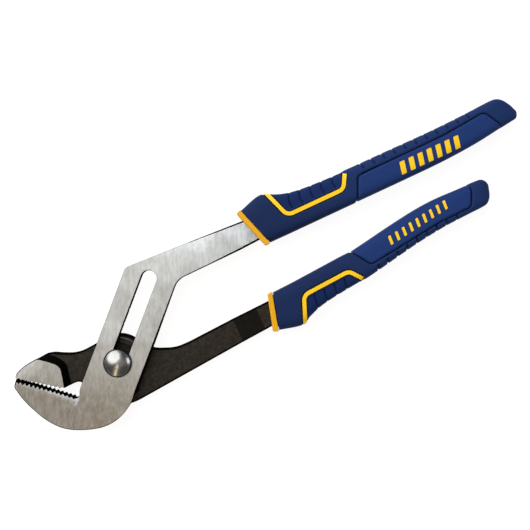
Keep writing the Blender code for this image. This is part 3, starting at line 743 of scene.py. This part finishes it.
def tongued_lever():
    """The upper jaw, the hub with its tongue, and the lower handle."""
    outline = dense(anticlockwise(tongued_outline()), 3.0)
    edge = [FINE_EDGE if x < -30 and y < 14.9 else FORGED_EDGE for x, y in outline]
    rings = [level(outline, HUB_BACK, 0.3), level(outline, HUB_BACK + 0.3)]
    lever = loft("tongued_lever_steel", rings + rounding_levels(outline, HUB_FRONT, edge))
    join(lever, upper_jaw())
    tongue = sector(TONGUE_INNER, TONGUE_OUTER, SLOT_ANGLE + TONGUE_TO, SLOT_ANGLE + TONGUE_FROM)
    top = HUB_FRONT + TONGUE_HEIGHT
    join(lever, loft("tongue", [level(tongue, HUB_FRONT - 1), level(tongue, top - 0.35),
                                level(tongue, top - 0.1, 0.12), level(tongue, top, 0.4)]))
    hole = arc(SHANK_RADIUS + GAP, 0, 354, 6.0)
    cut(lever, prism("hole", hole, -1.0, TALL))
    pocket = arc(NUT_POCKET_RADIUS, 0, 354, 6.0)
    cut(lever, loft("nut_pocket", [level(pocket, 0.0, -0.4), level(pocket, HUB_BACK, -0.4),
                                   level(pocket, HUB_BACK + 0.4), level(pocket, NUT_THICKNESS + GAP)]))
    slice_at(lever, [x + side for x in LOWER_BEND for side in (-0.25, 0.0, 0.25)])
    bend_heights(lever, LOWER_BEND, LOWER_LOW, LOWER_HIGH, HUB_BACK, HUB_FRONT)

    def choose(normal, centre):
        """0 on ground faces, 1 on black ones, 2 on walls, near-black as painted shade, 3 in the bend,
        darker as painted shade, 4 on the tongue's edge, a painted highlight.
        """
        jaw_face = normal.z > 0.97 and centre.z > JAW_FRONT - 1.6
        back = normal.z < -0.9 and centre.z < HUB_BACK + 0.2
        jaw_step = centre.x < -24 and centre.z > HUB_FRONT + 0.1
        bend = 0.9 < normal.z < 0.99 and LOWER_BEND[0] < centre.x < LOWER_BEND[1]
        wall = -0.9 < normal.z < 0.96
        reach = hypot(centre.x, centre.y)
        tongue_edge = 12.8 < reach < TONGUE_OUTER and centre.z > HUB_FRONT + 1.5 and normal.z < 0.95
        # Painted highlight on the tongue's outer edge.
        if tongue_edge:
            return 4
        if jaw_face or back:
            return 0
        if jaw_step or wall:
            return 2
        return 3 if bend else 1

    paint(lever, (JAW_STEEL, BLACK_OXIDE, BLACK_WALL_SHADE, SHADED_OXIDE, TONGUE_HIGHLIGHT_OXIDE), choose)
    shade(lever)
    return lever


# ------------------------ bolt and nut


def turned(name, profile, sides=72):
    """A solid of revolution about Z, from (radius, height) points, closed by flat ends."""
    rings = []
    for radius, height in profile:
        rings.append([(*polar(radius, 360 * i / sides), height) for i in range(sides)])
    return loft(name, rings)


def pivot_bolt():
    """A threaded shank under a domed head, whose rim is painted darker as painted shade."""
    under_head = JAW_FRONT + GAP
    dome_height = HEAD_HEIGHT - RIM_HEIGHT
    ball = (HEAD_RADIUS ** 2 + dome_height ** 2) / (2 * dome_height)
    rim = degrees(asin(HEAD_RADIUS / ball))
    dome = [(HEAD_RADIUS - 0.25, under_head), (HEAD_RADIUS, under_head + 0.2)]
    for i in range(DOME_STEPS):
        angle = radians(rim * (1 - i / DOME_STEPS))
        dome.append((ball * sin(angle), under_head + HEAD_HEIGHT - ball * (1 - cos(angle))))
    dome.append((0.15, under_head + HEAD_HEIGHT))
    thread = []
    for i in range(5):
        start = THREAD_PITCH * i
        thread += [(SHANK_RADIUS - THREAD_DEPTH, 0.5 + start), (SHANK_RADIUS, 0.9 + start)]
    shank = [(1.2, 0.0), (SHANK_RADIUS - 0.7, 0.0)] + thread + [(SHANK_RADIUS, under_head)]
    bolt = turned("pivot_bolt_steel", shank + dome)

    def choose(normal, centre):
        # The rim's faces take the dark steel: painted shade.
        return int(hypot(centre.x, centre.y) > HEAD_RADIUS - 0.65 and 0.3 < normal.z < 0.9)

    paint(bolt, (BOLT_STEEL, RIM_SHADE_STEEL), choose)
    shade(bolt, 40, keep_flat=False)
    return bolt


def pivot_nut():
    """A hexagon whose corners are cut to a cone on the outer side."""
    hexagon = rounded([(*polar(NUT_RADIUS, 60 * i), 0.3) for i in range(6)], 30.0)
    nut = prism("pivot_nut_steel", hexagon, 0.0, NUT_THICKNESS)
    cone = [(6.35, 0.0), (NUT_RADIUS + 0.3, 0.75), (NUT_RADIUS + 0.3, NUT_THICKNESS)]
    keep(nut, turned("nut_cone", cone))
    bore_radius = SHANK_RADIUS + GAP
    bore = [(SHANK_RADIUS + 0.7, -0.4), (bore_radius, 0.5), (bore_radius, NUT_THICKNESS + 1)]
    cut(nut, turned("nut_bore", bore))
    paint(nut, (NUT_STEEL,), lambda normal, centre: 0)
    shade(nut)
    return nut


# ------------------------ grips

# Inner and outer edges run from the flange to the end, with a half height for each pair of points.
# Ribs: first place, pitch, count and how far across they start. Motif: the first bar's x and y, the
# row's turn, count, pitch, and the bars' width and height.
UPPER_GRIP = {
    "name": "upper_grip",
    "body": "slotted_side",
    "inner": [(100.0, 23.7), (104.5, 23.65), (110.0, 23.6), (116.0, 23.6), (124.0, 23.6), (135.0, 23.6),
              (152.0, 23.6), (176.0, 23.6), (196.0, 23.7), (210.0, 24.2), (223.0, 25.2), (236.0, 26.9),
              (243.0, 27.8), (245.9, 28.3), (247.3, 30.2), (247.85, 31.9)],
    "outer": [(93.0, 45.6), (104.3, 48.8), (110.5, 47.2), (116.5, 44.9), (124.0, 43.3), (135.0, 42.4),
              (152.0, 41.8), (176.0, 41.6), (196.0, 41.4), (210.0, 41.5), (223.0, 41.9), (236.0, 42.5),
              (240.2, 42.1), (243.0, 40.2), (245.5, 36.6), (246.6, 34.4)],
    "half_height": [9.0] * 11 + [8.7, 7.7, 6.6, 4.8, 2.6],
    "flange": [(89.9, 44.9, 0.9), (96.9, 23.1, 1.0), (99.75, 23.3, 0.6), (92.75, 45.8, 0.6)],
    "tang": UPPER_TANG,
    "stripe": [(108.3, 49.5), (114.0, 32.7), (146.5, 32.7), (150.6, 39.9)],
    "pad": [(149.7, 18.0), (150.8, 23.6), (156.4, 35.9), (206.0, 36.1), (230.6, 38.2), (236.2, 28.6),
            (235.4, 18.0)],
    "thumb": [(118.3, 35.3), (124.4, 35.3), (130.7, 35.3), (136.9, 35.3), (143.3, 35.3)],
    "thumb_bow": [(0.0, 0.0), (-0.35, 2.4), (0.15, 5.1), (1.6, 8.2), (4.5, 14.0)],
    "ribs": (160.5, 6.13, 11, 0.58),
    "motif": (178.4, 29.8, 0.0, 7, 5.2, 2.8, 6.8),
}

LOWER_GRIP = {
    "name": "lower_grip",
    "body": "tongued_side",
    "inner": [(90.0, -1.0), (95.0, -0.8), (101.0, -0.6), (108.0, -0.2), (118.0, 0.4), (130.0, 1.1),
              (137.0, 1.4), (146.0, 2.7), (158.0, 4.6), (170.0, 6.3), (180.0, 7.4), (190.0, 7.8),
              (202.0, 7.4), (212.0, 7.2), (215.3, 6.7), (217.1, 5.0), (217.95, 3.0)],
    "outer": [(84.6, -20.5), (96.8, -23.3), (103.0, -21.2), (110.0, -18.9), (119.0, -17.4), (130.0, -16.2),
              (137.0, -15.4), (146.0, -14.0), (158.0, -11.9), (170.0, -9.9), (180.0, -8.6), (190.0, -7.7),
              (202.0, -7.2), (210.5, -6.9), (213.4, -6.0), (215.6, -3.6), (217.0, -0.4)],
    "half_height": [9.0] * 12 + [8.7, 7.7, 6.6, 4.8, 2.6],
    "flange": [(86.9, -0.5, 1.0), (81.2, -19.7, 0.9), (84.2, -20.8, 0.6), (89.8, -0.6, 0.6)],
    "tang": LOWER_TANG[::-1],
    "stripe": [(98.0, -24.3), (104.1, -9.1), (130.8, -7.6), (135.9, -14.2)],
    "pad": [(135.3, 7.0), (136.5, 1.0), (143.2, -9.5), (185.0, -4.6), (203.8, -4.2), (207.6, 3.6),
            (206.8, 13.0)],
    "thumb": [(109.2, -11.3), (115.1, -11.1), (121.1, -10.7), (127.0, -10.5)],
    "thumb_bow": [(0.0, 0.0), (-0.2, -2.0), (-0.45, -4.1), (-0.9, -8.0), (-1.6, -14.0)],
    "ribs": (145.8, 6.08, 9, 0.62),
    "motif": (157.0, -2.2, 8.0, 9, 4.25, 1.5, 4.8),
}
FLANGE_LEVELS = ((0.3, 0.9), (0.45, 0.45), (0.9, 0.12), (1.6, 0.0),
                 (16.4, 0.0), (17.1, 0.12), (17.55, 0.45), (17.7, 0.9))
FACE_LOW = 12.8
TANG_HEIGHTS = (6.0, 12.0)
STRIPE_CORNER = 4.5
PAD_CORNER = 3.2
PANEL_DEPTH = 0.45
THUMB_DEPTH = 0.95
THUMB_WIDTH = 0.4
RIB_DEPTH = 1.7
RIB_WIDTH = 0.42
RIB_LEAN = 2.0
BAR_SLANT = 78
STRIPE_BANK = 0.3
PAD_BANK = 0.75
SECTION_POINTS = 120
RING_SPACING = 0.32
SECTION_POWER = 4.2


def section():
    """A superellipse's points, evenly spaced on a section of a grip's usual width and height."""
    angles = np.linspace(0, 2 * pi, 2881)
    across = np.sign(np.cos(angles)) * np.abs(np.cos(angles)) ** (2 / SECTION_POWER)
    upward = np.sign(np.sin(angles)) * np.abs(np.sin(angles)) ** (2 / SECTION_POWER)
    run = np.concatenate([[0], np.cumsum(np.hypot(np.diff(across * 10), np.diff(upward * 9)))])
    even = np.linspace(0, run[-1], SECTION_POINTS, endpoint=False)
    return np.interp(even, run, across), np.interp(even, run, upward)


def path_distance(x, y, path):
    """The distance of each place from an open path."""
    nearest = np.full(np.shape(x), 1e9)
    for (x0, y0), (x1, y1) in zip(path, path[1:]):
        length = max((x1 - x0) ** 2 + (y1 - y0) ** 2, 1e-9)
        share = np.clip(((x - x0) * (x1 - x0) + (y - y0) * (y1 - y0)) / length, 0, 1)
        nearest = np.minimum(nearest, np.hypot(x - x0 - share * (x1 - x0), y - y0 - share * (y1 - y0)))
    return nearest


def step_up(value, low, high):
    """0 below low, 1 above high, and smooth between them."""
    share = np.clip((value - low) / (high - low), 0, 1)
    return share * share * (3 - 2 * share)


def inside(x, y, outline):
    """1 for each place inside a closed outline, else 0."""
    crossings = np.zeros(np.shape(x), int)
    for (x0, y0), (x1, y1) in zip(outline, outline[1:] + outline[:1]):
        if y0 != y1:
            crossings += ((y0 > y) != (y1 > y)) & (x < (x1 - x0) * (y - y0) / (y1 - y0) + x0)
    return (crossings % 2).astype(float)


def stripe_path(grip):
    return open_rounded(grip["stripe"], STRIPE_CORNER)


def pad_path(grip):
    return open_rounded(grip["pad"], PAD_CORNER)


def stripe_side(grip):
    """The outline of the thumb panel: all that the stripe goes round, past the grip's edge."""
    stripe = stripe_path(grip)
    away = 30.0 if stripe[0][1] > 0 else -30.0
    return stripe + [(stripe[-1][0], stripe[-1][1] + away), (stripe[0][0], stripe[0][1] + away)]


def grip_relief(grip, x, y, across):
    """How deep the moulded surface lies under the smooth body, for the place and side of each point."""
    from_stripe = path_distance(x, y, stripe_path(grip))
    panel = inside(x, y, stripe_side(grip)) * step_up(from_stripe, 1.2, 2.6)
    edge_fade = 1 - 0.65 * step_up(across, 0.85, 1.0)
    depth = PANEL_DEPTH * panel
    for start in grip["thumb"]:
        bow = [(start[0] + dx, start[1] + dy) for dx, dy in grip["thumb_bow"]]
        near = path_distance(x, y, smooth(bow, 3))
        groove = THUMB_DEPTH * np.exp(-(near / THUMB_WIDTH) ** 2) + 0.12 * np.exp(-(near / 1.6) ** 2)
        depth += panel * edge_fade * groove
    first, pitch, count, reach = grip["ribs"]
    for i in range(count):
        near = np.abs(x - first - i * pitch - RIB_LEAN * (1 - across))
        depth += RIB_DEPTH * np.exp(-(near / RIB_WIDTH) ** 2) * step_up(across, reach, reach + 0.07)
    depth += STRIPE_BANK * (1 - step_up(from_stripe, 1.3, 2.0)) * (1 - 0.5 * panel)
    from_pad = path_distance(x, y, pad_path(grip))
    depth += PAD_BANK * (1 - step_up(from_pad, 0.15, 1.1))
    return depth


def grip_body(grip, name, grow=0.0, relief=True):
    """The closed outer body of a grip, grown outwards, with its moulded relief if asked."""
    stations = [(*a, *b, h) for a, b, h in zip(grip["inner"], grip["outer"], grip["half_height"])]
    curve = np.array(smooth(stations, 8))
    middle = (curve[:, :2] + curve[:, 2:4]) / 2
    run = np.concatenate([[0], np.cumsum(np.hypot(*np.diff(middle, axis=0).T))])
    even = np.linspace(0, run[-1], ceil(run[-1] / RING_SPACING))
    curve = np.array([np.interp(even, run, column) for column in curve.T]).T
    across, upward = section()
    inner, outer, half = curve[:, None, :2], curve[:, None, 2:4], curve[:, None, 4]
    centre, reach = (inner + outer) / 2, (outer - inner) / 2
    width = np.hypot(reach[..., 0], reach[..., 1])
    unit = reach / width[..., None]
    slope_across = np.sign(across) * np.abs(across) ** (SECTION_POWER - 1) / width
    slope_upward = np.sign(upward) * np.abs(upward) ** (SECTION_POWER - 1) / half
    length = np.hypot(slope_across, slope_upward)
    x = centre[..., 0] + reach[..., 0] * across
    y = centre[..., 1] + reach[..., 1] * across
    move = grow * np.ones_like(x)
    if relief:
        move = move - grip_relief(grip, x, y, np.broadcast_to(across, x.shape))
    sideways = slope_across / length * move
    x, y = x + unit[..., 0] * sideways, y + unit[..., 1] * sideways
    z = MID + half * upward + slope_upward / length * move
    return loft(name, np.stack([x, y, z], axis=-1).tolist())


def face_prism(name, outline, front):
    """A prism through one face of the grip: the front one, or the back one as its mirror image."""
    bottom, top = (FACE_LOW, TALL) if front else (-TALL, 2 * MID - FACE_LOW)
    return prism(name, outline, bottom, top)


def tang_prism(grip, grow):
    """The steel tang in the grip, grown all round."""
    outline = inset(anticlockwise(list(grip["tang"])), -grow)
    low, high = TANG_HEIGHTS
    return prism("tang", outline, low - grow, high + grow)


def grip_core(grip):
    """The hard core: flange, sleeve round the tang, and the stripe on both faces."""
    flange = anticlockwise(rounded(grip["flange"], 10.0))
    (x0, y0, _), (x1, y1, _) = grip["flange"][:2]
    front_side = [(x0, y0), (x1, y1)]
    roundness = [1.0 if path_distance(x, y, front_side) < 0.6 else 0.35 for x, y in flange]
    rings = [level(flange, z, [amount * r for r in roundness]) for z, amount in FLANGE_LEVELS]
    core = loft(grip["name"] + "_hard_core", rings)
    sleeve = tang_prism(grip, GAP + CORE_WALL)
    behind = anticlockwise([(x0 + 1.3, y0), (x1 + 1.3, y1), (400, y1), (400, y0)])
    keep(sleeve, prism("behind", behind, -1, TALL))
    path = stripe_path(grip)
    for front in (True, False):
        stripe = grip_body(grip, "stripe", STRIPE_PROUD, relief=False)
        join(sleeve, keep(stripe, face_prism("band", band(path, STRIPE_WIDTH), front)))
    join(core, sleeve)
    cut(core, tang_prism(grip, GAP))
    flange_reach = inset(flange, -0.05)

    def choose(normal, centre):
        """0 on the stripe, 1 on the flange, a darker orange as painted shade, and 2 on the hidden sleeve,
        near-black as painted shade in the gaps round the stripe and the pad.
        """
        # The flange takes the darker orange yellow: painted shade.
        if inside(centre.x, centre.y, flange_reach):
            return 1
        on_stripe = path_distance(centre.x, centre.y, path) < STRIPE_WIDTH / 2 + 0.05
        raised = abs(centre.z - MID) > 8.0 or (on_stripe and normal.z ** 2 < 0.9)
        return 0 if on_stripe and raised else 2

    paint(core, (LEMON, FLANGE_SHADE_YELLOW, SLEEVE_SHADE), choose)
    shade(core)
    return core


def pad_region(grip, side):
    """The pad's region: clear of the shell near both faces (side +1 or -1), almost touching inside."""
    outline = anticlockwise(pad_path(grip))
    rings = []
    for height, gap in ((-TALL, PAD_GAP), (3.0, PAD_GAP), (3.6, 0.06), (14.4, 0.06), (15.0, PAD_GAP),
                        (TALL, PAD_GAP)):
        rings.append(level(outline, height, -side * gap / 2))
    return loft("pad_region", rings)


def grip_shell(grip):
    """The soft shell, open where the stripe and the pad lie."""
    shell = grip_body(grip, grip["name"] + "_soft_shell")
    cut(shell, tang_prism(grip, CORE_WALL + 2 * GAP))
    outline = band(stripe_path(grip), STRIPE_WIDTH + 2 * STRIPE_GAP)
    for front in (True, False):
        cut(shell, face_prism("channel", outline, front))
    cut(shell, pad_region(grip, 1))
    panel = stripe_side(grip)

    def choose(normal, centre):
        # The thumb panel takes the darker rubber: painted shade.
        return int(inside(centre.x, centre.y, panel))

    paint(shell, (NAVY_SHELL, NAVY_PANEL_SHADE), choose)
    shade(shell, 50)
    return shell


def grip_pad(grip):
    """The soft pad on the inner side of the grip's rear half."""
    pad = grip_body(grip, grip["name"] + "_soft_pad", -PAD_SINK)
    keep(pad, pad_region(grip, -1))
    cut(pad, tang_prism(grip, CORE_WALL + 2 * GAP))
    paint(pad, (NAVY_PAD,), lambda normal, centre: 0)
    shade(pad, 50)
    return pad


def grip_motif(grip):
    """A row of plain slanted bars, inlaid in the pad's front face."""
    x, y, turn, count, pitch, width, height = grip["motif"]
    along, up = Vector(polar(1, turn)), Vector(polar(1, turn + BAR_SLANT))
    motif = None
    for i in range(count):
        corner = Vector((x, y)) + along * i * pitch - up * height / 2
        far_corner = corner + along * width
        corners = [corner, far_corner, far_corner + up * height, corner + up * height]
        outline = rounded([(*c, 0.35) for c in corners], 30.0)
        bar = prism("bar", anticlockwise(outline), 16.0, TALL)
        motif = join(motif, bar) if motif else bar
    surface = grip_body(grip, grip["name"] + "_motif")
    keep(surface, motif)
    paint(surface, (LEMON,), lambda normal, centre: 0)
    shade(surface)
    return surface


# ------------------------ stage

CAMERA_PLACE = (0.0923, 0.0140, 0.609)
LENS = 76.4
SENSOR = 36.0
VIEW_TURN = 25.0
IMAGE_RIGHT = Vector((cos(radians(VIEW_TURN)), -sin(radians(VIEW_TURN)), 0.0))
IMAGE_UP = Vector((sin(radians(VIEW_TURN)), cos(radians(VIEW_TURN)), 0.0))
STAGE_CENTRE = Vector((0.09, 0.01, 0.0))
WHITE = (1.0, 1.0, 1.0)


def camera():
    """A camera straight above, turned so that the handles run up to the right."""
    data = bpy.data.cameras.new("camera")
    data.lens = LENS
    data.sensor_width = SENSOR
    obj = bpy.data.objects.new("camera", data)
    bpy.context.scene.collection.objects.link(obj)
    turn = Matrix((IMAGE_RIGHT, IMAGE_UP, Vector((0, 0, 1)))).transposed().to_4x4()
    obj.matrix_world = Matrix.Translation(CAMERA_PLACE) @ turn
    bpy.context.scene.camera = obj


def softbox(name, image_angle, from_above, distance, size, power, color=WHITE, shape="RECTANGLE"):
    """An area light that faces the pliers from this side of the picture, so far from overhead."""
    side = IMAGE_RIGHT * cos(radians(image_angle)) + IMAGE_UP * sin(radians(image_angle))
    direction = side * sin(radians(from_above)) + Vector((0, 0, 1)) * cos(radians(from_above))
    data = bpy.data.lights.new(name, "AREA")
    data.shape = shape
    data.size, data.size_y = size
    data.energy = power
    data.color = color
    obj = bpy.data.objects.new(name, data)
    bpy.context.scene.collection.objects.link(obj)
    obj.rotation_euler = direction.to_track_quat("Z", "Y").to_euler()
    obj.location = STAGE_CENTRE + direction * distance


def lighting():
    """A large soft key from the picture's upper left, three weaker lights and a dim white world."""
    softbox("key", 135, 46, 1.15, (1.7, 1.7), 22.5, (1.0, 0.99, 0.97), "ELLIPSE")
    softbox("overhead", 25, 8, 1.55, (1.7, 1.5), 2.6)
    softbox("right", 9, 60, 1.2, (0.6, 0.2), 2.2)
    softbox("low_warm", -109, 52, 1.2, (0.09, 1.8), 3.8, (1.0, 0.80, 0.50))
    world = bpy.data.worlds.new("studio")
    world.use_nodes = True
    background = world.node_tree.nodes["Background"]
    background.inputs["Color"].default_value = (*WHITE, 1.0)
    background.inputs["Strength"].default_value = 0.12
    bpy.context.scene.world = world


def floor():
    """A pale table that glows a little, so that it stays white under the pliers."""
    size = 3000.0
    plane = prism("floor", [(-size, -size), (size, -size), (size, size), (-size, size)], -5.0, -0.1)
    shader = Shader("light_table", (0.18, 0.18, 0.18), 0.9)
    shader.set(Emission_Color=(*WHITE, 1.0), Emission_Strength=0.90)
    paper = shader.noise(shader.place((0.4, 0.4, 0.4)), detail=3.0)
    shader.link(shader.mix(paper, (0.17, 0.17, 0.17), (0.19, 0.19, 0.19)), "Base Color")
    shader.bump(paper, 0.02)
    plane.data.materials.append(shader.material)


def mount(piece, body):
    """Let a piece ride on its body."""
    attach(piece, body)


def build():
    """Make every piece, mount it on its body and let it replace its CAD node."""
    for make, body, node in ((slotted_lever, "slotted_side", "slotted_lever"),
                             (tongued_lever, "tongued_side", "tongued_lever"),
                             (pivot_bolt, "pivot", "pivot_bolt"), (pivot_nut, "pivot", "pivot_nut")):
        piece = make()
        mount(piece, body)
        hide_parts(node)
    for grip in (UPPER_GRIP, LOWER_GRIP):
        for make, part in ((grip_core, "core"), (grip_shell, "shell"), (grip_pad, "pad")):
            node = grip["name"] + "_" + part
            piece = make(grip)
            mount(piece, grip["body"])
            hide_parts(node)
        mount(grip_motif(grip), grip["body"])


camera()
build()
lighting()
floor()
bpy.context.scene.view_settings.view_transform = "Standard"
